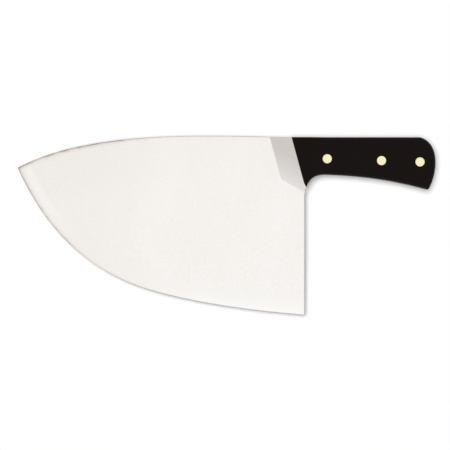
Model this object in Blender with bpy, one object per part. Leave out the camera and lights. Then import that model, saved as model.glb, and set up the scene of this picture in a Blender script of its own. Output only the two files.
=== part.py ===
"""Wide butcher's chopping knife: one steel forging, two handle scales and three two-piece rivets.

The knife lies on its right side. X runs along it with the tip at -X, Y across it with the cutting
edge at -Y, and Z through its thickness. Sizes are drawn with X = 0 at the heel of the blade, Y = 0 at
the top line of the handle and Z = 0 in the middle plane. An empty then carries every piece, so that
the middle of the knife's underside is at the world's origin. Lengths are metres, angles degrees.
"""

import math

import bmesh
import bpy
import numpy as np

# Blade, seen from the side
BLADE_LENGTH = 0.2806  # heel to the sharp corner of the tip
BLADE_DEPTH = 0.1740  # top line of the handle to the heel corner
TIP_DROP = 0.0296  # tip below the top line
TIP_RADIUS = 0.0013
HEEL_RADIUS = 0.0010
SPINE_TIP_ANGLE = 26.7
SPINE_ROOT_ANGLE = -1.1
SPINE_FULLNESS = (0.298, 0.368)
BELLY_TIP_ANGLE = -66.2
BELLY_KNEE_ANGLE = -16.5
BELLY_HEEL_ANGLE = -4.2
BELLY_KNEE_RUN = 0.461  # where the belly turns, as a share of the blade's length
BELLY_KNEE_FALL = 0.830  # and as a share of its fall from tip to heel
BELLY_FRONT_FULLNESS = (0.348, 0.380)
BELLY_REAR_FULLNESS = (0.290, 0.329)

# Blade, through its thickness
BLADE_THICKNESS = 0.0035
GRIND_WIDTH = 0.060  # the convex grind thins the blade over this distance from the edge
BEHIND_EDGE_THICKNESS = 0.0009
EDGE_THICKNESS = 0.0002
BEVEL_WIDTH = 0.0015
BEVEL_RUNOUT = 0.020  # the edge bevel narrows to nothing over this length at the tip

# Bolster, forged in one with the blade
BOLSTER_LEAN = 15.2  # its front crease and its back lean away from square
BOLSTER_WIDTH = 0.0209
BOLSTER_SETBACK = 0.0133  # top of its back, ahead of the heel
BOLSTER_DRAFT = 0.0001  # its back wall runs back this much on its way down to the tang
CREASE_ABOVE_GUARD = 0.0093  # lower end of the front crease
FLANK_BELOW_GUARD = 0.0042  # foot of the lower flank, at the heel
RIDGE_BELOW_GUARD = 0.0026  # top of the lower flank, at the heel
SCALE_CORNER_ABOVE_GUARD = 0.0056
GUARD_STUB = 0.0017  # steel on the guard curve ahead of the scale

# Handle
HANDLE_LENGTH = 0.1202  # heel to the lower corner of the butt
HANDLE_THICKNESS = 0.0200
TANG_THICKNESS = 0.0040
GRIP_DEPTH = 0.0365
GRIP_START = 0.0202  # heel to where the guard curve ends in the grip
GUARD_DROP = 0.0139  # guard below the grip
GUARD_ANGLE = 58.0
GUARD_FULLNESS = (0.285, 0.640)
BUTT_DROP = 0.0148  # lower corner of the butt below the front of the grip
BUTT_SETBACK = 0.0080  # top of the butt, ahead of its lower corner
BUTT_CORNER_RADIUS = 0.0018
BUTT_ANGLES = (-15.9, -121.6)
BUTT_FULLNESS = (0.430, 0.300)
UNDERSIDE_ANGLES = (-2.0, -14.6)
UNDERSIDE_FULLNESS = (0.470, 0.270)
FRONT_ROUNDING = 0.0012  # edge rounding of bolster and scale fronts
GRIP_ROUNDING = 0.0050  # edge rounding of the grip
ROUNDING_RUN = 0.030  # length over which the one becomes the other

# Rivets
RIVET_HEAD_DIAMETER = 0.0090
RIVET_HEAD_HEIGHT = 0.0025
RIVET_SHANK_DIAMETER = 0.0054
RIVET_BORE_DIAMETER = 0.0032
RIVET_CHAMFER = 0.0002
FRONT_RIVET_FROM_HEEL = 0.0215
REAR_RIVET_FROM_BUTT = 0.0085  # ahead of the butt's lower corner
MIDDLE_TO_REAR_RIVET = 0.0374
RIVET_ROW_BELOW_MIDDLE = 0.0029  # front rivet below the middle of the grip
RIVET_ROW_FALL = 1.95  # slope of the row towards the butt

CLEARANCE = 0.0003  # between pieces that touch or fit in each other

# How finely curves are cut into straight pieces
CURVE_POINTS = 200
BLADE_COLUMNS = 30
COLUMN_CROWDING = 1.5  # above 1, the columns lie closer together towards the tip
HEEL_SPANS = 7
BACK_SPANS = 4
BOLSTER_LINES = np.array([0.0, 0.3, 0.6, 0.85, 1.0])  # from its front crease to its back
STUB_SHARE = 0.04  # of the front crease, level with the end of the guard stub
CORNER_SHARE = 0.12  # and with the scale's lower corner
GUARD_SPANS = 8
UNDERSIDE_SPANS = 10
BUTT_SPANS = 10
ROUNDING_STEPS = 4
RIVET_STEPS = 24
CORNER_STEPS = 4  # of half a rounded corner
BLEND_SHARPNESS = 4.0
SHARP_ANGLE = 20.0  # edges that turn more than this stay sharp in the shading
MERGE_DISTANCE = 1e-6
LEAST_LENGTH = 1e-7  # keeps divisions by a length finite
DIRECTION_STEP = 1e-4  # a path's direction is taken over this distance

STEEL = {"color": (0.80, 0.78, 0.75, 1.0), "roughness": 0.35, "metallic": 1.0}
BLACK_PLASTIC = {"color": (0.010, 0.008, 0.008, 1.0), "roughness": 0.50, "metallic": 0.0}
BRASS = {"color": (0.87, 0.80, 0.50, 1.0), "roughness": 0.30, "metallic": 1.0}


def heading(angle):
    return np.array([math.cos(math.radians(angle)), math.sin(math.radians(angle))])


def cubic(start, end, angles, fullness):
    """A smooth path that leaves start and reaches end in the given directions."""
    start, end = np.asarray(start), np.asarray(end)
    chord = np.linalg.norm(end - start)
    after_start = start + fullness[0] * chord * heading(angles[0])
    before_end = end - fullness[1] * chord * heading(angles[1])
    t = np.linspace(0.0, 1.0, CURVE_POINTS)[:, None]
    s = 1.0 - t
    return s**3 * start + 3 * s**2 * t * after_start + 3 * s * t**2 * before_end + t**3 * end


def reach_along(path):
    steps = np.linalg.norm(np.diff(path, axis=0), axis=1)
    return np.concatenate([[0.0], np.cumsum(steps)])


def at(path, distances):
    """Points of a path at these distances from its start."""
    reach = reach_along(path)
    return np.stack([np.interp(distances, reach, path[:, k]) for k in (0, 1)], axis=-1)


def between(path, first, last, shares):
    """Points of a path from one distance to another, at these shares of the way."""
    return at(path, first + (last - first) * np.asarray(shares))


def line(start, end, shares):
    """Points of a straight line at these shares of the way."""
    return start + np.asarray(shares)[:, None] * (end - start)


def left_of(path, distances):
    """Unit vectors to the left of a path, at these distances from its start."""
    run = at(path, distances + DIRECTION_STEP) - at(path, distances - DIRECTION_STEP)
    run /= np.linalg.norm(run, axis=1)[:, None]
    return np.stack([-run[:, 1], run[:, 0]], axis=1)


def distance_to(path, points):
    """Shortest distance from each point to a path."""
    start, step = path[:-1], np.diff(path, axis=0)
    offset = points[:, None] - start
    share = np.clip((offset * step).sum(2) / (step**2).sum(1), 0.0, 1.0)
    return np.linalg.norm(offset - share[..., None] * step, axis=2).min(1)


def soft_least(*values):
    """A smooth stand-in for the least of several lengths, exact where one is zero."""
    total = sum(np.maximum(value, LEAST_LENGTH) ** -BLEND_SHARPNESS for value in values)
    return total ** (-1.0 / BLEND_SHARPNESS)


def ease(share):
    share = np.clip(share, 0.0, 1.0)
    return share * share * (3.0 - 2.0 * share)


LEAN = math.tan(math.radians(BOLSTER_LEAN))
GUARD_DEPTH = GRIP_DEPTH + GUARD_DROP
GUARD_TOP = np.array([0.0, -GUARD_DEPTH])
FLANK_END = np.array([0.0, -GUARD_DEPTH - FLANK_BELOW_GUARD])
RIDGE_END = np.array([0.0, -GUARD_DEPTH - RIDGE_BELOW_GUARD])
CREASE_DEPTH = GUARD_DEPTH - CREASE_ABOVE_GUARD
CREASE_TOP_X = -BOLSTER_SETBACK - BOLSTER_WIDTH
CREASE_END = np.array([CREASE_TOP_X + CREASE_DEPTH * LEAN, -CREASE_DEPTH])
BACK_CORNER_DEPTH = GUARD_DEPTH - SCALE_CORNER_ABOVE_GUARD
BACK_CORNER = np.array([-BOLSTER_SETBACK + BACK_CORNER_DEPTH * LEAN, -BACK_CORNER_DEPTH])
BACK_TOP = np.array([-BOLSTER_SETBACK, 0.0])
TIP = np.array([-BLADE_LENGTH, -TIP_DROP])
HEEL = np.array([0.0, -BLADE_DEPTH])
GRIP_FRONT = np.array([GRIP_START, -GRIP_DEPTH])
BUTT_TOP = np.array([HANDLE_LENGTH - BUTT_SETBACK, 0.0])
BUTT_CORNER = np.array([HANDLE_LENGTH, -GRIP_DEPTH - BUTT_DROP])


def belly_path():
    fall = (BLADE_DEPTH - TIP_DROP) * BELLY_KNEE_FALL
    knee = TIP + np.array([BLADE_LENGTH * BELLY_KNEE_RUN, -fall])
    front = cubic(TIP, knee, (BELLY_TIP_ANGLE, BELLY_KNEE_ANGLE), BELLY_FRONT_FULLNESS)
    rear = cubic(knee, HEEL, (BELLY_KNEE_ANGLE, BELLY_HEEL_ANGLE), BELLY_REAR_FULLNESS)
    return np.vstack([front, rear[1:]])


def round_join(first, second, radius):
    """Two paths that meet in a left turn, each ending with its half of a rounded corner."""
    end = reach_along(first)[-1]
    normal = left_of(first, np.array([end]))[0]
    next_normal = left_of(second, np.array([0.0]))[0]
    turn = math.acos(normal @ next_normal)
    trim = radius * math.tan(turn / 2)
    centre = at(first, end - trim) + radius * normal
    start = math.atan2(-normal[1], -normal[0])
    angles = np.degrees(start + turn * np.linspace(0.0, 1.0, 2 * CORNER_STEPS + 1))
    arc = np.array([centre + radius * heading(angle) for angle in angles])
    before = first[reach_along(first) < end - trim]
    after = second[reach_along(second) > trim]
    return np.vstack([before, arc[:CORNER_STEPS + 1]]), np.vstack([arc[CORNER_STEPS:], after])


SPINE = cubic(TIP, BACK_TOP, (SPINE_TIP_ANGLE, SPINE_ROOT_ANGLE), SPINE_FULLNESS)
BELLY = belly_path()
GUARD = cubic(GUARD_TOP, GRIP_FRONT, (GUARD_ANGLE, 0.0), GUARD_FULLNESS)
UNDERSIDE, BUTT = round_join(
    cubic(GRIP_FRONT, BUTT_CORNER, UNDERSIDE_ANGLES, UNDERSIDE_FULLNESS),
    cubic(BUTT_TOP, BUTT_CORNER, BUTT_ANGLES, BUTT_FULLNESS)[::-1],
    BUTT_CORNER_RADIUS,
)
HANDLE_TOP = np.array([[CREASE_TOP_X, 0.0], BUTT_TOP])


def crease_distances(points):
    """How far points lie behind the bolster's front crease and above its lower crease."""
    along = (FLANK_END - CREASE_END) / np.linalg.norm(FLANK_END - CREASE_END)
    above = np.array([-along[1], along[0]])
    return (points - CREASE_END) @ heading(BOLSTER_LEAN), (points - CREASE_END) @ above


def blade_half(points):
    """Half the blade's thickness, from the thin edge to the flat sides."""
    from_edge = distance_to(BELLY, points)
    from_tip = np.linalg.norm(points - TIP, axis=1)
    bevel = np.maximum(BEVEL_WIDTH * ease(from_tip / BEVEL_RUNOUT), LEAST_LENGTH)
    thinning = (1.0 - np.minimum(from_edge / GRIND_WIDTH, 1.0)) ** 2
    ground = (BLADE_THICKNESS - (BLADE_THICKNESS - BEHIND_EDGE_THICKNESS) * thinning) / 2
    share = np.clip(from_edge / bevel, 0.0, 1.0)
    return EDGE_THICKNESS / 2 * (1 - share) + ground * share


def bolster_rise(points):
    """How far the bolster stands up from the blade's side, on its front and its lower flank."""
    behind, above = crease_distances(points)
    run = BOLSTER_WIDTH * math.cos(math.radians(BOLSTER_LEAN))
    front_slope = (HANDLE_THICKNESS - BLADE_THICKNESS) / 2 / run
    ridge_behind, ridge_above = crease_distances(RIDGE_END)
    flank_slope = front_slope * ridge_behind / ridge_above
    return np.maximum(np.minimum(front_slope * behind, flank_slope * above), 0.0)


def rounding_at(points):
    run = (points[:, 0] - BACK_CORNER[0]) / ROUNDING_RUN
    return FRONT_ROUNDING + (GRIP_ROUNDING - FRONT_ROUNDING) * ease(run)


def handle_half(points):
    """Half the handle's thickness, full on its sides and rounded along its outline."""
    paths = (HANDLE_TOP, BUTT, np.vstack([GUARD, UNDERSIDE[1:]]))
    inside = soft_least(*(distance_to(path, points) for path in paths))
    radius = rounding_at(points)
    missing = np.maximum(radius - inside, 0.0)
    return HANDLE_THICKNESS / 2 - radius + np.sqrt(radius**2 - np.minimum(missing, radius) ** 2)


def outer_half(points):
    """The outside of blade, bolster and scales, which are ground together."""
    return np.minimum(handle_half(points), blade_half(points) + bolster_rise(points))


def coons(bottom, top, left, right, across, up):
    """Rows of points that fill the space between four sides."""
    u = np.asarray(across)[None, :, None]
    v = np.asarray(up)[:, None, None]
    rows = (1 - v) * bottom[None] + v * top[None] + (1 - u) * left[:, None] + u * right[:, None]
    low = (1 - u) * bottom[0] + u * bottom[-1]
    high = (1 - u) * top[0] + u * top[-1]
    return rows - (1 - v) * low - v * high


def raised(points, heights):
    """Plan points at their heights, or all at one height."""
    return np.column_stack([points, np.broadcast_to(heights, len(points))])


def add_grid(bm, rows):
    """Faces between neighbouring rows of points, which run from bottom to top."""
    verts = [[bm.verts.new(point) for point in row] for row in rows]
    for lower, upper in zip(verts[:-1], verts[1:]):
        for k in range(len(lower) - 1):
            bm.faces.new((lower[k], lower[k + 1], upper[k + 1], upper[k]))


def add_outer_grid(bm, rows, side=1):
    """Faces of the outside of the knife over rows of plan points, on the side of +Z or -Z."""
    add_grid(bm, [raised(row, side * outer_half(row)) for row in rows])


def merge_grids(bm):
    bmesh.ops.remove_doubles(bm, verts=bm.verts, dist=MERGE_DISTANCE)
    bmesh.ops.dissolve_degenerate(bm, edges=bm.edges, dist=MERGE_DISTANCE)


def round_heel(bm):
    """Round the blade's heel corner, which is the lowest of all."""
    vert = min(bm.verts, key=lambda v: v.co.y)
    bmesh.ops.bevel(
        bm, geom=[vert], offset=HEEL_RADIUS, offset_type="OFFSET", segments=CORNER_STEPS,
        profile=0.5, affect="VERTICES",
    )


def tip_arc(shares):
    """The rounded tip, from the belly to the spine, and how much of each path it cuts off."""
    half = math.radians(SPINE_TIP_ANGLE - BELLY_TIP_ANGLE) / 2
    trim = TIP_RADIUS / math.tan(half)
    centre = TIP + heading((SPINE_TIP_ANGLE + BELLY_TIP_ANGLE) / 2) * TIP_RADIUS / math.sin(half)
    first = BELLY_TIP_ANGLE - 90.0
    last = SPINE_TIP_ANGLE + 90.0 - 360.0
    arc = [centre + TIP_RADIUS * heading(first + (last - first) * share) for share in shares]
    arc[0], arc[-1] = at(BELLY, trim), at(SPINE, trim)
    return np.array(arc), trim


def side_shares(spans, rings):
    """Even shares of a side, with closer ones that follow a rounding at its far end."""
    even = np.linspace(0.0, 1.0 - rings[-1], spans + 1)
    return np.concatenate([even, 1.0 - np.asarray(rings[::-1][1:])])


def rounding_rings(radius, length):
    """Shares of a length at which the lines of a rounding of this radius lie."""
    turn = np.linspace(0.0, math.pi / 2, ROUNDING_STEPS + 1)
    return radius * (1.0 - np.cos(turn)) / length


def back_shares():
    rings = rounding_rings(FRONT_ROUNDING, np.linalg.norm(BACK_TOP - BACK_CORNER))
    return side_shares(BACK_SPANS, rings)


def spine_to_crease():
    """How far along the spine the front crease meets it."""
    return np.interp(0.0, SPINE[:, 0] - CREASE_TOP_X + SPINE[:, 1] * LEAN, reach_along(SPINE))


def bolster_back(shift):
    """The line where the bolster ends and the scale begins, moved back by shift."""
    start = at(GUARD, GUARD_STUB + shift)
    rise = line(BACK_CORNER + (shift, 0.0), BACK_TOP + (shift, 0.0), back_shares())
    return np.vstack([start, rise])


def handle_outline(shift):
    """Guard curve and underside, butt, and top line, behind a bolster back moved by shift."""
    guard_length = reach_along(GUARD)[-1]
    shares = np.linspace(0.0, 1.0, GUARD_SPANS + 1)
    guard = between(GUARD, GUARD_STUB + shift, guard_length, shares)
    under_length = reach_along(UNDERSIDE)[-1]
    rings = rounding_rings(GRIP_ROUNDING, under_length)
    under = between(UNDERSIDE, 0.0, under_length, side_shares(UNDERSIDE_SPANS, rings))
    bottom = np.vstack([guard, under[1:]])
    across = reach_along(bottom) / reach_along(bottom)[-1]
    butt_length = reach_along(BUTT)[-1]
    half = side_shares(BUTT_SPANS // 2, rounding_rings(GRIP_ROUNDING, butt_length / 2))
    up = np.concatenate([0.5 - 0.5 * half[::-1], 0.5 + 0.5 * half[1:]])
    butt = between(BUTT, 0.0, butt_length, up)
    top = line(BACK_TOP + (shift, 0.0), BUTT_TOP, across)
    return bottom, butt, top, across, up


def add_blade(bm, right):
    """The blade ahead of the bolster, with the narrow bevel along its edge."""
    across = np.linspace(0.0, 1.0, BLADE_COLUMNS + 1) ** COLUMN_CROWDING
    up = reach_along(right) / reach_along(right)[-1]
    left, trim = tip_arc(up)
    distances = trim + (reach_along(BELLY)[-1] - trim) * across
    edge = at(BELLY, distances)
    width = BEVEL_WIDTH * ease(np.linalg.norm(edge - TIP, axis=1) / BEVEL_RUNOUT)
    width[0] = 0.0
    shoulder = edge + left_of(BELLY, distances) * width[:, None]
    shoulder[-1] = right[0]
    top = between(SPINE, trim, spine_to_crease(), across)
    add_outer_grid(bm, [edge, shoulder])
    add_outer_grid(bm, coons(shoulder, top, left, right, across, up))


def add_bolster(bm, crease, back):
    """The bolster: a fan over its lower flank and ridge, then its front up to the spine."""
    ends = (FLANK_END, RIDGE_END, GUARD_TOP)
    add_outer_grid(bm, [line(CREASE_END, end, BOLSTER_LINES) for end in ends])
    rows = [line(front, rear, BOLSTER_LINES) for front, rear in zip(crease, back)]
    rows[-1] = between(SPINE, spine_to_crease(), reach_along(SPINE)[-1], BOLSTER_LINES)
    add_outer_grid(bm, rows)


def forging_side():
    """The whole forging's left side, as one sheet."""
    bm = bmesh.new()
    heel = line(HEEL + (0.0, BEVEL_WIDTH), FLANK_END, np.linspace(0.0, 1.0, HEEL_SPANS + 1))
    flank = line(FLANK_END, CREASE_END, 1.0 - BOLSTER_LINES[::-1])
    rise = CORNER_SHARE + (1.0 - CORNER_SHARE) * back_shares()
    shares = np.concatenate([[0.0, STUB_SHARE], rise])
    crease = line(CREASE_END, at(SPINE, spine_to_crease()), shares)
    add_blade(bm, np.vstack([heel, flank[1:], crease[1:]]))
    back = bolster_back(0.0)
    add_bolster(bm, crease, np.vstack([GUARD_TOP, back]))
    tang_front = bolster_back(BOLSTER_DRAFT)
    add_grid(bm, [raised(tang_front, TANG_THICKNESS / 2), raised(back, outer_half(back))])
    bottom, butt, top, _, _ = handle_outline(BOLSTER_DRAFT)
    outline = np.vstack([bottom, butt[1:], top[::-1][1:], tang_front[::-1][1:-1]])
    bm.faces.new([bm.verts.new(point) for point in raised(outline, TANG_THICKNESS / 2)])
    merge_grids(bm)
    round_heel(bm)
    return bm


def add_walls(bm, level):
    """Walls from the sheet's rim to a level, and the verts at their foot."""
    rim = [edge for edge in bm.edges if edge.is_boundary]
    made = bmesh.ops.extrude_edge_only(bm, edges=rim)["geom"]
    foot = [item for item in made if isinstance(item, bmesh.types.BMVert)]
    for vert in foot:
        vert.co.z = level
    return foot


def add_object(name, bm, finish, parent):
    """An object with its own material, carried by the knife's empty."""
    bmesh.ops.recalc_face_normals(bm, faces=bm.faces)
    mesh = bpy.data.meshes.new(name)
    bm.to_mesh(mesh)
    bm.free()
    material = bpy.data.materials.new(name + "_material")
    material.use_nodes = True
    shader = material.node_tree.nodes["Principled BSDF"]
    shader.inputs["Base Color"].default_value = finish["color"]
    shader.inputs["Roughness"].default_value = finish["roughness"]
    shader.inputs["Metallic"].default_value = finish["metallic"]
    material.diffuse_color = finish["color"]
    mesh.materials.append(material)
    mesh.shade_smooth()
    mesh.set_sharp_from_angle(angle=math.radians(SHARP_ANGLE))
    piece = bpy.data.objects.new(name, mesh)
    bpy.context.scene.collection.objects.link(piece)
    piece.parent = parent
    return piece


def cut_with(piece, cutter):
    cut = piece.modifiers.new("rivet_holes", "BOOLEAN")
    cut.operation = "DIFFERENCE"
    cut.solver = "EXACT"
    cut.object = cutter


def rivet_places():
    """Plan places of the front, middle and rear rivets."""
    rear = HANDLE_LENGTH - REAR_RIVET_FROM_BUTT
    row = (FRONT_RIVET_FROM_HEEL, rear - MIDDLE_TO_REAR_RIVET, rear)
    depth = GRIP_DEPTH / 2 + RIVET_ROW_BELOW_MIDDLE
    fall = math.tan(math.radians(RIVET_ROW_FALL))
    return [(x, -depth - (x - FRONT_RIVET_FROM_HEEL) * fall) for x in row]


def add_turned(bm, profile, place=(0.0, 0.0)):
    """A round piece from its profile, given as (radius, height), both ends on the axis."""
    verts = [bm.verts.new((place[0] + radius, place[1], height)) for radius, height in profile]
    edges = [bm.edges.new(pair) for pair in zip(verts[:-1], verts[1:])]
    bmesh.ops.spin(
        bm, geom=verts + edges, cent=(place[0], place[1], 0.0), axis=(0.0, 0.0, 1.0),
        angle=math.tau, steps=RIVET_STEPS, use_merge=True,
    )
    bmesh.ops.remove_doubles(bm, verts=bm.verts, dist=MERGE_DISTANCE)


def make_rivet_drill(parent):
    """The stepped hole of all three rivets, through both scales and the tang."""
    head = RIVET_HEAD_DIAMETER / 2 + CLEARANCE
    shank = RIVET_SHANK_DIAMETER / 2 + CLEARANCE
    outside = HANDLE_THICKNESS / 2 + CLEARANCE
    seat = HANDLE_THICKNESS / 2 - RIVET_HEAD_HEIGHT - CLEARANCE
    profile = [
        (0.0, -outside), (head, -outside), (head, -seat), (shank, -seat),
        (shank, seat), (head, seat), (head, outside), (0.0, outside),
    ]
    bm = bmesh.new()
    for place in rivet_places():
        add_turned(bm, profile, place)
    drill = add_object("rivet_drill", bm, BRASS, parent)
    drill.hide_render = True
    drill.display_type = "WIRE"
    return drill


def make_forging(parent, drill):
    """Blade, bolster and full tang: half of it is modelled and mirrored in the middle plane."""
    bm = forging_side()
    add_walls(bm, 0.0)
    forging = add_object("blade_forging", bm, STEEL, parent)
    mirror = forging.modifiers.new("other_side", "MIRROR")
    mirror.use_axis = (False, False, True)
    mirror.use_mirror_merge = True
    mirror.merge_threshold = MERGE_DISTANCE
    cut_with(forging, drill)
    return forging


def make_scale(name, side, parent, drill):
    """One handle scale, on the side given by +1 or -1, with its seat flat on the tang."""
    bm = bmesh.new()
    shift = BOLSTER_DRAFT + CLEARANCE / math.cos(math.radians(BOLSTER_LEAN))
    bottom, butt, top, across, up = handle_outline(shift)
    front = bolster_back(shift)
    left = between(front, 0.0, reach_along(front)[-1], up)
    nearest = np.argmin(np.linalg.norm(left - front[1], axis=1))
    left[nearest] = front[1]  # so that a row of the grid meets the corner of the front
    add_outer_grid(bm, coons(bottom, top, left, butt, across, up), side)
    merge_grids(bm)
    foot = add_walls(bm, side * (TANG_THICKNESS / 2 + CLEARANCE))
    rim = [edge for edge in bm.edges if edge.is_boundary]
    bmesh.ops.holes_fill(bm, edges=rim, sides=len(foot))
    scale = add_object(name, bm, BLACK_PLASTIC, parent)
    cut_with(scale, drill)
    return scale


def make_rivet_half(name, side, hollow, place, parent):
    """A rivet head with a hollow shank, or with the pin that fits in it, on one side."""
    outside = HANDLE_THICKNESS / 2
    under_head = outside - RIVET_HEAD_HEIGHT
    head = RIVET_HEAD_DIAMETER / 2
    bore = RIVET_BORE_DIAMETER / 2
    profile = [
        (0.0, outside), (head - RIVET_CHAMFER, outside),
        (head, outside - RIVET_CHAMFER), (head, under_head),
    ]
    if hollow:
        shank = RIVET_SHANK_DIAMETER / 2
        shank_end = -under_head + CLEARANCE
        profile += [(shank, under_head), (shank, shank_end), (bore, shank_end)]
        profile += [(bore, under_head), (0.0, under_head)]
    else:
        pin = bore - CLEARANCE
        pin_end = -under_head + CLEARANCE
        profile += [(pin, under_head), (pin, pin_end), (0.0, pin_end)]
    bm = bmesh.new()
    add_turned(bm, [(radius, side * height) for radius, height in profile])
    piece = add_object(name, bm, BRASS, parent)
    piece.location = (place[0], place[1], 0.0)
    return piece


def place_knife(empty, forging):
    """Put the middle of the knife's underside at the world's origin."""
    corners = np.array([vert.co[:] for vert in forging.data.vertices])
    middle = (corners.min(axis=0) + corners.max(axis=0)) / 2
    empty.location = (-middle[0], -middle[1], HANDLE_THICKNESS / 2)


def main():
    for old in list(bpy.data.objects):
        bpy.data.objects.remove(old, do_unlink=True)
    knife = bpy.data.objects.new("knife", None)
    bpy.context.scene.collection.objects.link(knife)
    drill = make_rivet_drill(knife)
    forging = make_forging(knife, drill)
    make_scale("left_scale", 1, knife, drill)
    make_scale("right_scale", -1, knife, drill)
    for label, place in zip(("front", "middle", "rear"), rivet_places()):
        make_rivet_half(label + "_rivet_socket", 1, True, place, knife)
        make_rivet_half(label + "_rivet_pin", -1, False, place, knife)
    place_knife(knife, forging)


main()
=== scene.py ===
"""Looks of a wide butcher's chopping knife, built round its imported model.

The blade, bolster and tang are one ground steel forging. Two black plastic scales are held on the
tang by three two-piece brass rivets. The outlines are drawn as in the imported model, with X = 0 at the
heel of the blade, Y = 0 at the top line of the handle and Z = 0 in the middle plane, only more finely,
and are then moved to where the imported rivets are. Lengths are metres, angles degrees.
"""

import math

import bmesh
import bpy
import numpy as np
from mathutils import Matrix, Vector


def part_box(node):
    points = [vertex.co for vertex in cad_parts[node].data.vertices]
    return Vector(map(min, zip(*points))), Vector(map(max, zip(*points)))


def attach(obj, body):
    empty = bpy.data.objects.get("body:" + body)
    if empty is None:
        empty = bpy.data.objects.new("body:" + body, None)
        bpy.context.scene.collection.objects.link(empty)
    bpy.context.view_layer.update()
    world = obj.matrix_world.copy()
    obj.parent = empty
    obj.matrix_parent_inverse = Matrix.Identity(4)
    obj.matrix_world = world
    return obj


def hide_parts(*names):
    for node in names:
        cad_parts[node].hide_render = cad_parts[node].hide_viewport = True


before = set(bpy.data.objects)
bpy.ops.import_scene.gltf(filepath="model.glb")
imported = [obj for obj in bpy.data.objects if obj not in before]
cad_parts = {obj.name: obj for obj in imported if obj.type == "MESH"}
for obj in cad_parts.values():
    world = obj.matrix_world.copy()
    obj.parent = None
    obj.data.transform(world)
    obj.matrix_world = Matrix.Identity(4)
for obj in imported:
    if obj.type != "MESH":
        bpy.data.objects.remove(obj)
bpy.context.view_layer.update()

# Blade, seen from the side
BLADE_LENGTH = 0.2806  # heel to the sharp corner of the tip
BLADE_DEPTH = 0.1740  # top line of the handle to the heel corner
TIP_DROP = 0.0296
TIP_RADIUS = 0.0013
HEEL_RADIUS = 0.0010
SPINE_ANGLES = (26.7, -1.1)
SPINE_FULLNESS = (0.298, 0.368)
BELLY_TIP_ANGLE = -66.2
BELLY_KNEE_ANGLE = -16.5
BELLY_HEEL_ANGLE = -4.2
BELLY_KNEE_RUN = 0.461  # where the belly turns, as a share of the blade's length
BELLY_KNEE_FALL = 0.830  # and as a share of its fall from tip to heel
BELLY_FRONT_FULLNESS = (0.348, 0.380)
BELLY_REAR_FULLNESS = (0.290, 0.329)

# Blade, through its thickness
BLADE_THICKNESS = 0.0035
GRIND_WIDTH = 0.060  # the convex grind thins the blade over this distance from the edge
BEHIND_EDGE_THICKNESS = 0.0009
EDGE_THICKNESS = 0.0002
BEVEL_WIDTH = 0.0015
BEVEL_RUNOUT = 0.020  # the edge bevel narrows to nothing over this length at the tip
SPINE_EASING = 0.0002  # rounding of the blade's long edges, except the sharp one
EASING_RUNOUT = 0.020

# Bolster
BOLSTER_LEAN = 15.2
BOLSTER_WIDTH = 0.0209
BOLSTER_SETBACK = 0.0133
BOLSTER_DRAFT = 0.0001
CREASE_ABOVE_GUARD = 0.0093
FLANK_BELOW_GUARD = 0.0042
RIDGE_BELOW_GUARD = 0.0026
SCALE_CORNER_ABOVE_GUARD = 0.0056
GUARD_STUB = 0.0017
RIDGE_SHARPNESS = 9.0
BOLSTER_SLOT = 1  # the second of the forging's materials covers bolster and tang

# Handle
HANDLE_LENGTH = 0.1202
HANDLE_THICKNESS = 0.0200
TANG_THICKNESS = 0.0040
GRIP_DEPTH = 0.0365
GRIP_START = 0.0202
GUARD_DROP = 0.0139
GUARD_ANGLE = 58.0
GUARD_FULLNESS = (0.285, 0.640)
BUTT_DROP = 0.0148
BUTT_SETBACK = 0.0080
BUTT_CORNER_RADIUS = 0.0018
BUTT_ANGLES = (-15.9, -121.6)
BUTT_FULLNESS = (0.430, 0.300)
UNDERSIDE_ANGLES = (-2.0, -14.6)
UNDERSIDE_FULLNESS = (0.470, 0.270)
FRONT_ROUNDING = 0.0012
GRIP_ROUNDING = 0.0050
ROUNDING_RUN = 0.030
BLEND_SHARPNESS = 4.0

# Rivets
FRONT_RIVET_FROM_HEEL = 0.0215
RIVET_ROW_BELOW_MIDDLE = 0.0029  # front rivet below the middle of the grip
RIVET_HEAD_HEIGHT = 0.0025
RIVET_SHANK_DIAMETER = 0.0054
RIVET_BORE_DIAMETER = 0.0032
RIVET_CHAMFER = 0.00015
DRILL_OVERSHOOT = 0.002
SEAM = 0.00004  # the pressed pieces show only a hairline between them

# How finely curves are cut into straight pieces
CURVE_POINTS = 200
BLADE_COLUMNS = 150
COLUMN_CROWDING = 1.5
HEEL_SPANS = 60
BACK_SPANS = 24
GUARD_SPANS = 30
UNDERSIDE_SPANS = 60
BUTT_SPANS = 30
ROUNDING_STEPS = 16
RIVET_STEPS = 96
CORNER_STEPS = 12
EASING_STEPS = 3
BOLSTER_SHARES = 1.0 - np.linspace(1.0, 0.0, 19) ** 1.4  # from its front crease to its back
# Ends of the rows of the bolster's fan, as shares of the way from flank to guard, closer at its ridge
FAN_SHARES = np.array([0.0, 0.15, 0.28, 0.33, 0.36, 0.38, 0.40, 0.43, 0.48, 0.58, 0.72, 0.86, 1.0])
STUB_SHARES = np.linspace(0.0, 0.04, 4)  # of the front crease, level with the guard stub
CORNER_SHARES = np.linspace(0.04, 0.12, 6)  # and with the scale's lower corner
SHARP_ANGLE = 8.0
MERGE_DISTANCE = 1e-6
LEAST_LENGTH = 1e-7
DIRECTION_STEP = 1e-4


def heading(angle):
    """The unit vector that points this way."""
    return np.array([math.cos(math.radians(angle)), math.sin(math.radians(angle))])


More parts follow.
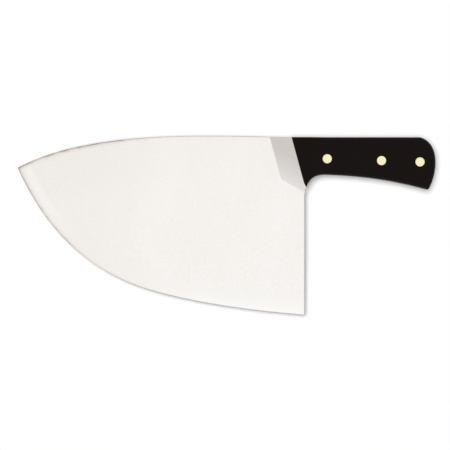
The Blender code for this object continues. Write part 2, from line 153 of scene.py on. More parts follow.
def cubic(start, end, angles, fullness):
    """A smooth path that leaves start and reaches end in the given directions."""
    start, end = np.asarray(start), np.asarray(end)
    chord = np.linalg.norm(end - start)
    after_start = start + fullness[0] * chord * heading(angles[0])
    before_end = end - fullness[1] * chord * heading(angles[1])
    t = np.linspace(0.0, 1.0, CURVE_POINTS)[:, None]
    s = 1.0 - t
    return s**3 * start + 3 * s**2 * t * after_start + 3 * s * t**2 * before_end + t**3 * end


def reach_along(path):
    """How far along a path each of its points lies."""
    steps = np.linalg.norm(np.diff(path, axis=0), axis=1)
    return np.concatenate([[0.0], np.cumsum(steps)])


def at(path, distances):
    """Points of a path at these distances from its start."""
    reach = reach_along(path)
    return np.stack([np.interp(distances, reach, path[:, k]) for k in (0, 1)], axis=-1)


def between(path, first, last, shares):
    """Points of a path from one distance to another, at these shares of the way."""
    return at(path, first + (last - first) * np.asarray(shares))


def line(start, end, shares):
    """Points of a straight line at these shares of the way."""
    return start + np.asarray(shares)[:, None] * (end - start)


def left_of(path, distances):
    """Unit vectors to the left of a path, at these distances from its start."""
    run = at(path, distances + DIRECTION_STEP) - at(path, distances - DIRECTION_STEP)
    run /= np.linalg.norm(run, axis=1)[:, None]
    return np.stack([-run[:, 1], run[:, 0]], axis=1)


def distance_to(path, points):
    """Shortest distance from each point to a path."""
    start, step = path[:-1], np.diff(path, axis=0)
    offset = points[:, None] - start
    share = np.clip((offset * step).sum(2) / (step**2).sum(1), 0.0, 1.0)
    return np.linalg.norm(offset - share[..., None] * step, axis=2).min(1)


def soft_least(sharpness, *values):
    """A smooth stand-in for the least of several lengths, exact where one is zero."""
    powers = sum(np.maximum(value, LEAST_LENGTH) ** -sharpness for value in values)
    return powers ** (-1.0 / sharpness)


def ease(share):
    """A smooth step from 0 to 1."""
    share = np.clip(share, 0.0, 1.0)
    return share * share * (3.0 - 2.0 * share)


LEAN = math.tan(math.radians(BOLSTER_LEAN))
GUARD_DEPTH = GRIP_DEPTH + GUARD_DROP
GUARD_TOP = np.array([0.0, -GUARD_DEPTH])
FLANK_END = np.array([0.0, -GUARD_DEPTH - FLANK_BELOW_GUARD])
RIDGE_END = np.array([0.0, -GUARD_DEPTH - RIDGE_BELOW_GUARD])
CREASE_DEPTH = GUARD_DEPTH - CREASE_ABOVE_GUARD
CREASE_TOP_X = -BOLSTER_SETBACK - BOLSTER_WIDTH
CREASE_END = np.array([CREASE_TOP_X + CREASE_DEPTH * LEAN, -CREASE_DEPTH])
BACK_CORNER_DEPTH = GUARD_DEPTH - SCALE_CORNER_ABOVE_GUARD
BACK_CORNER = np.array([-BOLSTER_SETBACK + BACK_CORNER_DEPTH * LEAN, -BACK_CORNER_DEPTH])
BACK_TOP = np.array([-BOLSTER_SETBACK, 0.0])
TIP = np.array([-BLADE_LENGTH, -TIP_DROP])
HEEL = np.array([0.0, -BLADE_DEPTH])
BUTT_TOP = np.array([HANDLE_LENGTH - BUTT_SETBACK, 0.0])
BUTT_CORNER = np.array([HANDLE_LENGTH, -GRIP_DEPTH - BUTT_DROP])


def belly_path():
    """The cutting edge, from the tip to the heel, as two curves that meet at its knee."""
    fall = (BLADE_DEPTH - TIP_DROP) * BELLY_KNEE_FALL
    knee = TIP + np.array([BLADE_LENGTH * BELLY_KNEE_RUN, -fall])
    front = cubic(TIP, knee, (BELLY_TIP_ANGLE, BELLY_KNEE_ANGLE), BELLY_FRONT_FULLNESS)
    rear = cubic(knee, HEEL, (BELLY_KNEE_ANGLE, BELLY_HEEL_ANGLE), BELLY_REAR_FULLNESS)
    return np.vstack([front, rear[1:]])


def round_join(first, second, radius):
    """Two paths that meet in a left turn, each ending with its half of a rounded corner."""
    end = reach_along(first)[-1]
    normal = left_of(first, np.array([end]))[0]
    next_normal = left_of(second, np.array([0.0]))[0]
    turn = math.acos(normal @ next_normal)
    trim = radius * math.tan(turn / 2)
    centre = at(first, end - trim) + radius * normal
    start = math.atan2(-normal[1], -normal[0])
    angles = np.degrees(start + turn * np.linspace(0.0, 1.0, 2 * CORNER_STEPS + 1))
    arc = np.array([centre + radius * heading(angle) for angle in angles])
    before = first[reach_along(first) < end - trim]
    after = second[reach_along(second) > trim]
    return np.vstack([before, arc[:CORNER_STEPS + 1]]), np.vstack([arc[CORNER_STEPS:], after])


GRIP_FRONT = np.array([GRIP_START, -GRIP_DEPTH])
SPINE = cubic(TIP, BACK_TOP, SPINE_ANGLES, SPINE_FULLNESS)
BELLY = belly_path()
GUARD = cubic(GUARD_TOP, GRIP_FRONT, (GUARD_ANGLE, 0.0), GUARD_FULLNESS)
UNDERSIDE, BUTT = round_join(
    cubic(GRIP_FRONT, BUTT_CORNER, UNDERSIDE_ANGLES, UNDERSIDE_FULLNESS),
    cubic(BUTT_TOP, BUTT_CORNER, BUTT_ANGLES, BUTT_FULLNESS)[::-1],
    BUTT_CORNER_RADIUS,
)
HANDLE_TOP = np.array([[CREASE_TOP_X, 0.0], BUTT_TOP])


def crease_distances(points):
    """How far points lie behind the bolster's front crease and above its lower crease."""
    along = (FLANK_END - CREASE_END) / np.linalg.norm(FLANK_END - CREASE_END)
    above = np.array([-along[1], along[0]])
    return (points - CREASE_END) @ heading(BOLSTER_LEAN), (points - CREASE_END) @ above


def blade_half(points):
    """Half the blade's thickness, from the thin edge to the flat sides."""
    from_edge = distance_to(BELLY, points)
    from_tip = np.linalg.norm(points - TIP, axis=1)
    bevel = np.maximum(BEVEL_WIDTH * ease(from_tip / BEVEL_RUNOUT), LEAST_LENGTH)
    thinning = (1.0 - np.minimum(from_edge / GRIND_WIDTH, 1.0)) ** 2
    ground = (BLADE_THICKNESS - (BLADE_THICKNESS - BEHIND_EDGE_THICKNESS) * thinning) / 2
    share = np.clip(from_edge / bevel, 0.0, 1.0)
    return EDGE_THICKNESS / 2 * (1 - share) + ground * share


def bolster_rise(points):
    """How far the bolster stands up from the blade's side, on its front and its lower flank."""
    behind, above = crease_distances(points)
    run = BOLSTER_WIDTH * math.cos(math.radians(BOLSTER_LEAN))
    front_slope = (HANDLE_THICKNESS - BLADE_THICKNESS) / 2 / run
    ridge_behind, ridge_above = crease_distances(RIDGE_END)
    flank_slope = front_slope * ridge_behind / ridge_above
    rise = soft_least(RIDGE_SHARPNESS, front_slope * behind, flank_slope * above)
    return np.where((behind > LEAST_LENGTH) & (above > LEAST_LENGTH), rise, 0.0)


def handle_half(points):
    """Half the handle's thickness, full on its sides and rounded along its outline."""
    paths = (HANDLE_TOP, BUTT, np.vstack([GUARD, UNDERSIDE[1:]]))
    inside = soft_least(BLEND_SHARPNESS, *(distance_to(path, points) for path in paths))
    run = ease((points[:, 0] - BACK_CORNER[0]) / ROUNDING_RUN)
    radius = FRONT_ROUNDING + (GRIP_ROUNDING - FRONT_ROUNDING) * run
    missing = np.maximum(radius - inside, 0.0)
    return HANDLE_THICKNESS / 2 - radius + np.sqrt(radius**2 - np.minimum(missing, radius) ** 2)


def outer_half(points):
    """The outside of blade, bolster and scales, which are ground together."""
    return np.minimum(handle_half(points), blade_half(points) + bolster_rise(points))


def coons(bottom, top, left, right, across, up):
    """Rows of points that fill the space between four sides."""
    u = np.asarray(across)[None, :, None]
    v = np.asarray(up)[:, None, None]
    rows = (1 - v) * bottom[None] + v * top[None] + (1 - u) * left[:, None] + u * right[:, None]
    painted_paleness = (1 - u) * bottom[0] + u * bottom[-1]
    high = (1 - u) * top[0] + u * top[-1]
    return rows - (1 - v) * painted_paleness - v * high


def raised(points, heights):
    """Plan points at their heights, or all at one height."""
    return np.column_stack([points, np.broadcast_to(heights, len(points))])


def add_grid(bm, rows, slot=0):
    """Faces between neighbouring rows of points, which run from bottom to top."""
    verts = [[bm.verts.new(point) for point in row] for row in rows]
    for lower, upper in zip(verts[:-1], verts[1:]):
        for k in range(len(lower) - 1):
            face = bm.faces.new((lower[k], lower[k + 1], upper[k + 1], upper[k]))
            face.material_index = slot


def add_outer_grid(bm, rows, slot=0, side=1):
    """Faces of the outside of the knife over rows of plan points, on the side of +Z or -Z."""
    add_grid(bm, [raised(row, side * outer_half(row)) for row in rows], slot)


def merge_grids(bm):
    bmesh.ops.remove_doubles(bm, verts=bm.verts, dist=MERGE_DISTANCE)
    bmesh.ops.dissolve_degenerate(bm, edges=bm.edges, dist=MERGE_DISTANCE)


def round_heel(bm):
    """Round the blade's heel corner, which is the lowest of all."""
    vert = min(bm.verts, key=lambda v: v.co.y)
    bmesh.ops.bevel(
        bm, geom=[vert], offset=HEEL_RADIUS, offset_type="OFFSET", segments=CORNER_STEPS,
        profile=0.5, affect="VERTICES",
    )


def tip_arc(shares):
    """The rounded tip, from the belly to the spine, and how much of each path it cuts off."""
    half = math.radians(SPINE_ANGLES[0] - BELLY_TIP_ANGLE) / 2
    trim = TIP_RADIUS / math.tan(half)
    centre = TIP + heading((SPINE_ANGLES[0] + BELLY_TIP_ANGLE) / 2) * TIP_RADIUS / math.sin(half)
    first = BELLY_TIP_ANGLE - 90.0
    last = SPINE_ANGLES[0] + 90.0 - 360.0
    arc = [centre + TIP_RADIUS * heading(first + (last - first) * share) for share in shares]
    arc[0], arc[-1] = at(BELLY, trim), at(SPINE, trim)
    return np.array(arc), trim


def side_shares(spans, rings):
    """Even shares of a side, with closer ones that follow a rounding at its far end."""
    even = np.linspace(0.0, 1.0 - rings[-1], spans + 1)
    return np.concatenate([even, 1.0 - np.asarray(rings[::-1][1:])])


def rounding_rings(radius, length):
    """Shares of a length at which the lines of a rounding of this radius lie."""
    turn = np.linspace(0.0, math.pi / 2, ROUNDING_STEPS + 1)
    return radius * (1.0 - np.cos(turn)) / length


def back_shares():
    """Shares of the bolster's back, up from its corner, closer where the top is rounded."""
    rings = rounding_rings(FRONT_ROUNDING, np.linalg.norm(BACK_TOP - BACK_CORNER))
    return side_shares(BACK_SPANS, rings)


def spine_to_crease():
    """How far along the spine the front crease meets it."""
    return np.interp(0.0, SPINE[:, 0] - CREASE_TOP_X + SPINE[:, 1] * LEAN, reach_along(SPINE))


def bolster_back(shift):
    """The line where the bolster ends and the scale begins, moved back by shift."""
    start = at(GUARD, GUARD_STUB + shift)
    corner = BACK_CORNER + (shift, 0.0)
    painted_paleness = line(start, corner, np.linspace(0.0, 1.0, len(CORNER_SHARES)))
    rise = line(corner, BACK_TOP + (shift, 0.0), back_shares())
    return np.vstack([painted_paleness, rise[1:]])


def handle_outline(shift):
    """Guard curve and underside, butt, and top line, behind a bolster back moved by shift."""
    guard_length = reach_along(GUARD)[-1]
    shares = np.linspace(0.0, 1.0, GUARD_SPANS + 1)
    guard = between(GUARD, GUARD_STUB + shift, guard_length, shares)
    under_length = reach_along(UNDERSIDE)[-1]
    rings = rounding_rings(GRIP_ROUNDING, under_length)
    under = between(UNDERSIDE, 0.0, under_length, side_shares(UNDERSIDE_SPANS, rings))
    bottom = np.vstack([guard, under[1:]])
    across = reach_along(bottom) / reach_along(bottom)[-1]
    butt_length = reach_along(BUTT)[-1]
    half = side_shares(BUTT_SPANS // 2, rounding_rings(GRIP_ROUNDING, butt_length / 2))
    up = np.concatenate([0.5 - 0.5 * half[::-1], 0.5 + 0.5 * half[1:]])
    butt = between(BUTT, 0.0, butt_length, up)
    top = line(BACK_TOP + (shift, 0.0), BUTT_TOP, across)
    return bottom, butt, top, across, up


def add_blade(bm, right):
    """The blade ahead of the bolster, with the narrow bevel along its edge."""
    across = np.linspace(0.0, 1.0, BLADE_COLUMNS + 1) ** COLUMN_CROWDING
    up = reach_along(right) / reach_along(right)[-1]
    left, trim = tip_arc(up)
    distances = trim + (reach_along(BELLY)[-1] - trim) * across
    edge = at(BELLY, distances)
    width = BEVEL_WIDTH * ease(np.linalg.norm(edge - TIP, axis=1) / BEVEL_RUNOUT)
    width[0] = 0.0
    shoulder = edge + left_of(BELLY, distances) * width[:, None]
    shoulder[-1] = right[0]
    top = between(SPINE, trim, spine_to_crease(), across)
    add_outer_grid(bm, [edge, shoulder])
    add_outer_grid(bm, coons(shoulder, top, left, right, across, up))


def add_bolster(bm, crease, back):
    """The bolster: a fan over its lower flank and ridge, then its front up to the spine."""
    ends = line(FLANK_END, GUARD_TOP, FAN_SHARES)
    add_outer_grid(bm, [line(CREASE_END, end, BOLSTER_SHARES) for end in ends], BOLSTER_SLOT)
    rows = [line(front, rear, BOLSTER_SHARES) for front, rear in zip(crease, back)]
    rows[-1] = between(SPINE, spine_to_crease(), reach_along(SPINE)[-1], BOLSTER_SHARES)
    add_outer_grid(bm, rows, BOLSTER_SLOT)


def forging_side():
    """The whole forging's left side, as one sheet."""
    bm = bmesh.new()
    heel = line(HEEL + (0.0, BEVEL_WIDTH), FLANK_END, np.linspace(0.0, 1.0, HEEL_SPANS + 1))
    flank = line(FLANK_END, CREASE_END, 1.0 - BOLSTER_SHARES[::-1])
    rest = CORNER_SHARES[-1] + (1.0 - CORNER_SHARES[-1]) * back_shares()
    shares = np.concatenate([STUB_SHARES, CORNER_SHARES[1:], rest[1:]])
    crease = line(CREASE_END, at(SPINE, spine_to_crease()), shares)
    add_blade(bm, np.vstack([heel, flank[1:], crease[1:]]))
    back = bolster_back(0.0)
    stub = at(GUARD, GUARD_STUB * STUB_SHARES / STUB_SHARES[-1])
    add_bolster(bm, crease, np.vstack([stub, back[1:]]))
    tang_front = bolster_back(BOLSTER_DRAFT)
    shoulder = [raised(tang_front, TANG_THICKNESS / 2), raised(back, outer_half(back))]
    add_grid(bm, shoulder, BOLSTER_SLOT)
    bottom, butt, top, _, _ = handle_outline(BOLSTER_DRAFT)
    outline = np.vstack([bottom, butt[1:], top[::-1][1:], tang_front[::-1][1:-1]])
    tang = bm.faces.new([bm.verts.new(point) for point in raised(outline, TANG_THICKNESS / 2)])
    tang.material_index = BOLSTER_SLOT
    merge_grids(bm)
    round_heel(bm)
    return bm


def weigh_rim(bm):
    """Mark the rim of the blade's side, apart from the sharp edge, for the rounding of its edges."""
    layer = bm.edges.layers.float.new("bevel_weight_edge")
    rim = [edge for edge in bm.edges if edge.is_boundary]
    middles = np.array([((edge.verts[0].co + edge.verts[1].co) / 2)[:] for edge in rim])
    half = middles[:, 2] / (BLADE_THICKNESS / 2)
    from_tip = np.linalg.norm(middles[:, :2] - TIP, axis=1)
    weights = np.minimum(half, 1.0) * ease(from_tip / EASING_RUNOUT)
    handle = (middles[:, 0] > BACK_TOP[0] - BOLSTER_WIDTH) & (middles[:, 1] > FLANK_END[1])
    sharp = distance_to(BELLY, middles[:, :2]) < BEVEL_WIDTH
    weights[handle | sharp] = 0.0
    for edge, weight in zip(rim, weights):
        edge[layer] = weight


def add_walls(bm, level):
    """Walls from the sheet's rim to a level, and the verts at their foot."""
    rim = [edge for edge in bm.edges if edge.is_boundary]
    made = bmesh.ops.extrude_edge_only(bm, edges=rim)["geom"]
    foot = [item for item in made if isinstance(item, bmesh.types.BMVert)]
    for vert in foot:
        vert.co.z = level
    return foot


def add_object(name, bm):
    bmesh.ops.recalc_face_normals(bm, faces=bm.faces)
    mesh = bpy.data.meshes.new(name)
    bm.to_mesh(mesh)
    bm.free()
    piece = bpy.data.objects.new(name, mesh)
    bpy.context.scene.collection.objects.link(piece)
    return piece


def cut_with(piece, cutter):
    cut = piece.modifiers.new("rivet_holes", "BOOLEAN")
    cut.operation = "DIFFERENCE"
    cut.solver = "EXACT"
    cut.object = cutter


def settle(piece):
    """Turn a piece's modifiers into its mesh."""
    graph = bpy.context.evaluated_depsgraph_get()
    made = bpy.data.meshes.new_from_object(piece.evaluated_get(graph))
    piece.modifiers.clear()
    piece.data = made


def node_centre(node):
    painted_paleness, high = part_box(node)
    return (painted_paleness + high) / 2


def drawing_origin():
    """Where the drawing's origin lies in the frame."""
    rivet = node_centre("front_rivet_socket")
    depth = GRIP_DEPTH / 2 + RIVET_ROW_BELOW_MIDDLE
    middle = node_centre("blade_forging").z
    return Vector((rivet.x - FRONT_RIVET_FROM_HEEL, rivet.y + depth, middle))


RIVETS = ("front_rivet", "middle_rivet", "rear_rivet")
ORIGIN = drawing_origin()


def rivet_places():
    """Plan places of the rivets in the drawing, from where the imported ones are."""
    return [(node_centre(rivet + "_socket") - ORIGIN)[:2] for rivet in RIVETS]


def rivet_head_radius():
    painted_paleness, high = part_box("front_rivet_socket")
    return (high.x - painted_paleness.x) / 2


def add_turned(bm, profile, place=(0.0, 0.0)):
    """A round piece from its profile, given as (radius, height), both ends on the axis."""
    verts = [bm.verts.new((place[0] + radius, place[1], height)) for radius, height in profile]
    edges = [bm.edges.new(pair) for pair in zip(verts[:-1], verts[1:])]
    bmesh.ops.spin(
        bm, geom=verts + edges, cent=(place[0], place[1], 0.0), axis=(0.0, 0.0, 1.0),
        angle=math.tau, steps=RIVET_STEPS, use_merge=True,
    )
    bmesh.ops.remove_doubles(bm, verts=bm.verts, dist=MERGE_DISTANCE)


def make_rivet_drill():
    """The stepped hole of all three rivets, through both scales and the tang."""
    head = rivet_head_radius() + SEAM
    shank = RIVET_SHANK_DIAMETER / 2 + SEAM
    outside = HANDLE_THICKNESS / 2 + DRILL_OVERSHOOT
    seat = HANDLE_THICKNESS / 2 - RIVET_HEAD_HEIGHT - SEAM
    profile = [
        (0.0, -outside), (head, -outside), (head, -seat), (shank, -seat),
        (shank, seat), (head, seat), (head, outside), (0.0, outside),
    ]
    bm = bmesh.new()
    for place in rivet_places():
        add_turned(bm, profile, place)
    return add_object("rivet_drill", bm)


def make_forging(drill):
    """Blade, bolster and tang: one side, mirrored, with eased long edges and the rivet holes."""
    bm = forging_side()
    weigh_rim(bm)
    add_walls(bm, 0.0)
    forging = add_object("ground_forging", bm)
    mirror = forging.modifiers.new("other_side", "MIRROR")
    mirror.use_axis = (False, False, True)
    mirror.use_mirror_merge = True
    mirror.merge_threshold = MERGE_DISTANCE
    easing = forging.modifiers.new("eased_edges", "BEVEL")
    easing.limit_method = "WEIGHT"
    easing.width = SPINE_EASING
    easing.segments = EASING_STEPS
    easing.use_clamp_overlap = False
    easing.material = -1
    cut_with(forging, drill)
    settle(forging)
    return forging


def make_scale(name, side, drill):
    """One side of the handle, from its outside down to the tang, with the rivet holes."""
    bm = bmesh.new()
    shift = BOLSTER_DRAFT + SEAM
    bottom, butt, top, across, up = handle_outline(shift)
    front = bolster_back(shift)
    left = between(front, 0.0, reach_along(front)[-1], up)
    corner = BACK_CORNER + (shift, 0.0)
    nearest = np.argmin(np.linalg.norm(left - corner, axis=1))
    left[nearest] = corner  # so that a row of the grid meets the corner of the front
    add_outer_grid(bm, coons(bottom, top, left, butt, across, up), side=side)
    merge_grids(bm)
    foot = add_walls(bm, side * (TANG_THICKNESS / 2 + SEAM))
    rim = [edge for edge in bm.edges if edge.is_boundary]
    bmesh.ops.holes_fill(bm, edges=rim, sides=len(foot))
    scale = add_object(name, bm)
    cut_with(scale, drill)
    settle(scale)
    return scale


def make_rivet_half(name, side, hollow, place):
    """A rivet head with a hollow shank, or with the pin that fits in it, on one side."""
    outside = HANDLE_THICKNESS / 2
    under_head = outside - RIVET_HEAD_HEIGHT
    head = rivet_head_radius()
    bore = RIVET_BORE_DIAMETER / 2
    profile = [(0.0, outside), (head - RIVET_CHAMFER, outside)]
    profile += [(head, outside - RIVET_CHAMFER), (head, under_head)]
    if hollow:
        shank = RIVET_SHANK_DIAMETER / 2
        profile += [(shank, under_head), (shank, -under_head + SEAM), (bore, -under_head + SEAM)]
        profile += [(bore, under_head), (0.0, under_head)]
    else:
        pin = bore - SEAM
        profile += [(pin, under_head), (pin, -under_head + SEAM), (0.0, -under_head + SEAM)]
    bm = bmesh.new()
    add_turned(bm, [(radius, side * height) for radius, height in profile], place)
    return add_object(name, bm)


def add_attribute(mesh, name, values):
    attribute = mesh.attributes.new(name, "FLOAT", "POINT")
    attribute.data.foreach_set("value", np.asarray(values, np.float32))


def measure_forging(forging):
    """Store on the forging how far each point lies from its edge, spine, heel and lower crease."""
    points = np.array([vert.co[:2] for vert in forging.data.vertices])
    add_attribute(forging.data, "from_edge", distance_to(BELLY, points))
    add_attribute(forging.data, "from_spine", distance_to(SPINE, points))
    add_attribute(forging.data, "from_heel", -points[:, 0])
    add_attribute(forging.data, "above_crease", crease_distances(points)[1])
    add_attribute(forging.data, "from_crease", distance_to(np.array([CREASE_END, FLANK_END]), points))


def place_piece(piece, materials, slot, *nodes):
    """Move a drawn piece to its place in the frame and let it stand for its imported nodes."""
    for material in materials:
        piece.data.materials.append(material)
    piece.data.transform(Matrix.Translation(ORIGIN))
    piece.data.shade_smooth()
    piece.data.set_sharp_from_angle(angle=math.radians(SHARP_ANGLE))
    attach(piece, "root")
    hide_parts(*nodes)


# Node trees

EVEN = (1.0, 1.0, 1.0)  # scales that draw nothing out


def new_material(name):
    material = bpy.data.materials.new(name)
    material.use_nodes = True
    return material, material.node_tree, material.node_tree.nodes["Principled BSDF"]


def add_node(tree, kind, inputs=None, **settings):
    """A node with its settings; an input takes a value or another node's output."""
    made = tree.nodes.new(kind)
    for name, value in settings.items():
        setattr(made, name, value)
    for name, value in (inputs or {}).items():
        if isinstance(value, bpy.types.NodeSocket):
            tree.links.new(value, made.inputs[name])
        else:
            made.inputs[name].default_value = value
    return made


def arithmetic(tree, operation, first, second):
    made = add_node(tree, "ShaderNodeMath", {0: first, 1: second}, operation=operation)
    return made.outputs[0]


def product(tree, first, second):
    return arithmetic(tree, "MULTIPLY", first, second)


def total(tree, start, parts):
    """A value plus others, each times its own amount."""
    for part, amount in parts:
        start = arithmetic(tree, "ADD", start, product(tree, part, amount))
    return start


def remap(tree, value, painted_paleness, high, to_low, to_high, kind="SMOOTHSTEP"):
    """A step from to_low to to_high as the value goes from low to high."""
    inputs = {"Value": value, "From Min": painted_paleness, "From Max": high, "To Min": to_low, "To Max": to_high}
    made = add_node(tree, "ShaderNodeMapRange", inputs, interpolation_type=kind)
    return made.outputs["Result"]


def decay(tree, distance, length):
    """1 at no distance, and less by a factor of e for each such length."""
    return arithmetic(tree, "POWER", 1.0 / math.e, arithmetic(tree, "DIVIDE", distance, length))


def mixed(tree, factor, first, second):
    """A colour between two others."""
    made = add_node(tree, "ShaderNodeMix", {0: factor, 6: first, 7: second}, data_type="RGBA")
    return made.outputs[2]


def place_nodes(tree, scales=EVEN):
    """Object coordinates in metres, scaled along each axis."""
    coordinates = add_node(tree, "ShaderNodeTexCoord")
    inputs = {"Vector": coordinates.outputs["Object"], "Scale": scales}
    return add_node(tree, "ShaderNodeMapping", inputs).outputs["Vector"]


def noise(tree, size, scales, detail):
    """Noise with spots of about this size, in metres, longer on an axis with a small scale."""
    inputs = {"Vector": place_nodes(tree, scales), "Scale": 1.0 / size, "Detail": detail}
    return add_node(tree, "ShaderNodeTexNoise", inputs).outputs["Fac"]


def attribute(tree, name):
    return add_node(tree, "ShaderNodeAttribute", attribute_name=name).outputs["Fac"]


def varied(tree, middle, amount, marks):
    """A value that noise moves up and down from its middle."""
    centred = arithmetic(tree, "SUBTRACT", marks, 0.5)
    return arithmetic(tree, "ADD", middle, product(tree, centred, amount))


def bump(tree, shader, height, depth):
    """Relief of this depth, in metres, on a shader."""
    made = add_node(tree, "ShaderNodeBump", {"Height": height, "Strength": 1.0, "Distance": depth})
    tree.links.new(made.outputs["Normal"], shader.inputs["Normal"])


# Colours
STEEL_DARK = (0.853, 0.813, 0.773, 1.0)
STEEL_PALE = (0.975, 0.959, 0.937, 1.0)
# painted highlight: the near-white laid on the blade near its cutting edge and along the bolster's
# lower crease
STEEL_HIGHLIGHT = (0.995, 0.988, 0.982, 1.0)
# stain, and painted shade along the blade's rim where its eased edges turn from the light
STAIN_AND_RIM_SHADE = (0.34, 0.25, 0.20, 1.0)
BURNT = (0.22, 0.105, 0.03, 1.0)
# painted shade: grey along the cutting edge and the heel
RIM_SHADE_GREY = (0.30, 0.29, 0.28, 1.0)
# the bolster's steel, from the painted shade at its top to paler steel at its lower crease
FACET_DARK = (0.765, 0.720, 0.690, 1.0)
FACET_PALE = (0.945, 0.914, 0.888, 1.0)
WALL_DARK = (0.48, 0.46, 0.44, 1.0)
WALL_PALE = (0.82, 0.80, 0.78, 1.0)
PLASTIC_DARK = (0.0035, 0.0021, 0.0017, 1.0)
PLASTIC_PALE = (0.0053, 0.0033, 0.0027, 1.0)
BRASS_DARK = (0.90, 0.84, 0.495, 1.0)
BRASS_PALE = (0.98, 0.945, 0.61, 1.0)

# Noise: the size of its spots, their scales along the axes, and its levels of detail
BLADE_CLOUDS = (0.030, (1.0, 0.4, 1.0), 3.0)
BLADE_STROKES = (0.0009, (1.0, 0.06, 1.0), 3.0)
STAIN_BLOTCHES = (0.010, EVEN, 2.0)
STEEL_SPECKLE = (0.0012, EVEN, 2.0)
FACET_STROKES = (0.0007, (1.0, 0.05, 1.0), 3.0)
WALL_STROKES = (0.0005, (0.03, 0.03, 1.0), 3.0)
PLASTIC_CLOUDS = (0.018, EVEN, 3.0)
PLASTIC_SKIN = (0.0005, EVEN, 3.0)
BRASS_CLOUDS = (0.003, EVEN, 2.0)
BRASS_STROKES = (0.0004, (0.06, 1.0, 1.0), 3.0)
PIT_SPACING = 0.014

# Tones, from 0 for a dark colour to 1 for its pale one: a pair gives the middle value and how far
# noise moves it, and a single number what one marking or one kind of noise adds
BLADE_TONE = (0.567, 0.30)
BLADE_SPECKLE_TONE = 1.10
BLADE_STROKES_TONE = 0.30
# painted shade towards the tip and the spine, and painted highlights near the cutting edge
TIP_TONE = -0.17
SPINE_TONE = -0.09
TIP_SPINE_TONE = -0.06
GLEAM_TONE = 0.06
HIGHLIGHT_BAND_TONE = 0.33
FACET_SPECKLE_TONE = 0.12
FACET_STROKES_TONE = 0.15
WALL_TONE = (0.5, 2.5)
PLASTIC_SKIN_TONE = 0.6
BRASS_STROKES_TONE = 0.5

# Roughness, in the same way, and the depth of the relief
BLADE_ROUGHNESS = (0.36, 0.12)
FACET_ROUGHNESS = (0.30, 0.10)
PLASTIC_ROUGHNESS = (0.46, 0.12)
PLASTIC_SKIN_ROUGHNESS = 0.10
BRASS_ROUGHNESS = (0.30, 0.15)
METAL_RELIEF = 0.000004
SKIN_RELIEF = 0.00002
PLASTIC_SPECULAR = 0.07

# Steps by the distance from the blade's heel: where each begins and ends, and its two amounts
# painted shade towards the tip, and where the painted highlights near the edge begin and end
TIP_SHADE = (0.125, 0.215, 0.0, 1.0)
HEEL_GLEAM = (0.000, 0.070, 1.0, 0.0)
HIGHLIGHT_BAND_START = (0.215, 0.268, 0.0, 1.0)
# painted highlight along the cutting edge, strongest towards the heel
EDGE_HIGHLIGHT = (0.090, 0.155, 0.95, 0.0)
# stain and painted shade along the cutting edge, stronger towards the tip
EDGE_WEAR_AND_SHADE = (0.140, 0.275, 0.05, 0.62)
EDGE_WEAR_AND_SHADE_DEPTH = (0.140, 0.275, 0.0008, 0.0016)
TIP_NARROWING = (0.260, 0.279, 1.0, 0.5)
# stain and painted shade along the spine, stronger towards the tip
SPINE_WEAR_AND_SHADE = (0.125, 0.215, 0.10, 1.15)
# painted shade along the cutting edge, fading towards the tip, and along the heel
EDGE_RIM_SHADE_END = (0.130, 0.240, 1.0, 0.10)
HEEL_RIM_SHADE = (0.0002, 0.0009, 0.80, 0.0)

# The same by the distance from its cutting edge, its spine and the bolster's lower crease
# painted highlights near the cutting edge: a gleam, and a pale band
EDGE_GLEAM = (0.000, 0.060, 1.0, 0.0)
HIGHLIGHT_BAND_RISE = (0.001, 0.0065, 0.0, 1.0)
HIGHLIGHT_BAND_FALL = (0.0100, 0.0155, 1.0, 0.0)
# painted shade along the cutting edge
EDGE_RIM_SHADE = (0.0003, 0.0013, 0.78, 0.0)
# painted shade towards the spine
SPINE_SHADE = (0.012, 0.065, 1.0, 0.0)
# painted shade on the bolster, lifting towards its lower crease
FACET_SHADE = (0.0, 0.024, 1.0, 0.0)

# The same by other measures
PITS = (0.02, 0.05, 0.30, 0.0)  # by the distance from their middles, as a share of their spacing
BLOTCH_CONTRAST = (0.35, 0.65, 0.70, 1.30)  # by the level of the noise
WALLS = (0.02, 0.12, 1.0, 0.0)  # by how far a face looks up or down

# Over what distances markings, painted shade and painted highlights fade by a factor of e
EDGE_HIGHLIGHT_DEPTH = 0.0075
SPINE_WEAR_AND_SHADE_DEPTH = 0.0011
CREASE_GLEAM_DEPTH = 0.0015
BURNT_DEPTH = 0.0018
BURNT_RUN = 0.007

# How strong the painted highlight along the bolster's lower crease is, on the blade and on the bolster
BLADE_CREASE_GLEAM = 0.40
FACET_CREASE_GLEAM = 0.50


def brushed_walls(tree, color):
    """The same colour, but on the steel's narrow sides the one of darker steel brushed lengthwise."""
    geometry = add_node(tree, "ShaderNodeNewGeometry")
    normal = add_node(tree, "ShaderNodeSeparateXYZ", {"Vector": geometry.outputs["Normal"]})
    upright = arithmetic(tree, "ABSOLUTE", normal.outputs["Z"], 0.0)
    tone = varied(tree, *WALL_TONE, noise(tree, *WALL_STROKES))
    side = mixed(tree, tone, WALL_DARK, WALL_PALE)
    return mixed(tree, remap(tree, upright, *WALLS), color, side)


def crease_gleam(tree, color, amount):
    """The same colour, but with a painted highlight along the bolster's lower crease."""
    near = decay(tree, attribute(tree, "from_crease"), CREASE_GLEAM_DEPTH)
    return mixed(tree, product(tree, near, amount), color, STEEL_HIGHLIGHT)


def finish_metal(tree, shader, color, roughness, strokes):
    """Metal of this colour, with strokes in its roughness and its relief."""
    tree.links.new(color, shader.inputs["Base Color"])
    tree.links.new(varied(tree, *roughness, strokes), shader.inputs["Roughness"])
    shader.inputs["Metallic"].default_value = 1.0
    bump(tree, shader, strokes, METAL_RELIEF)


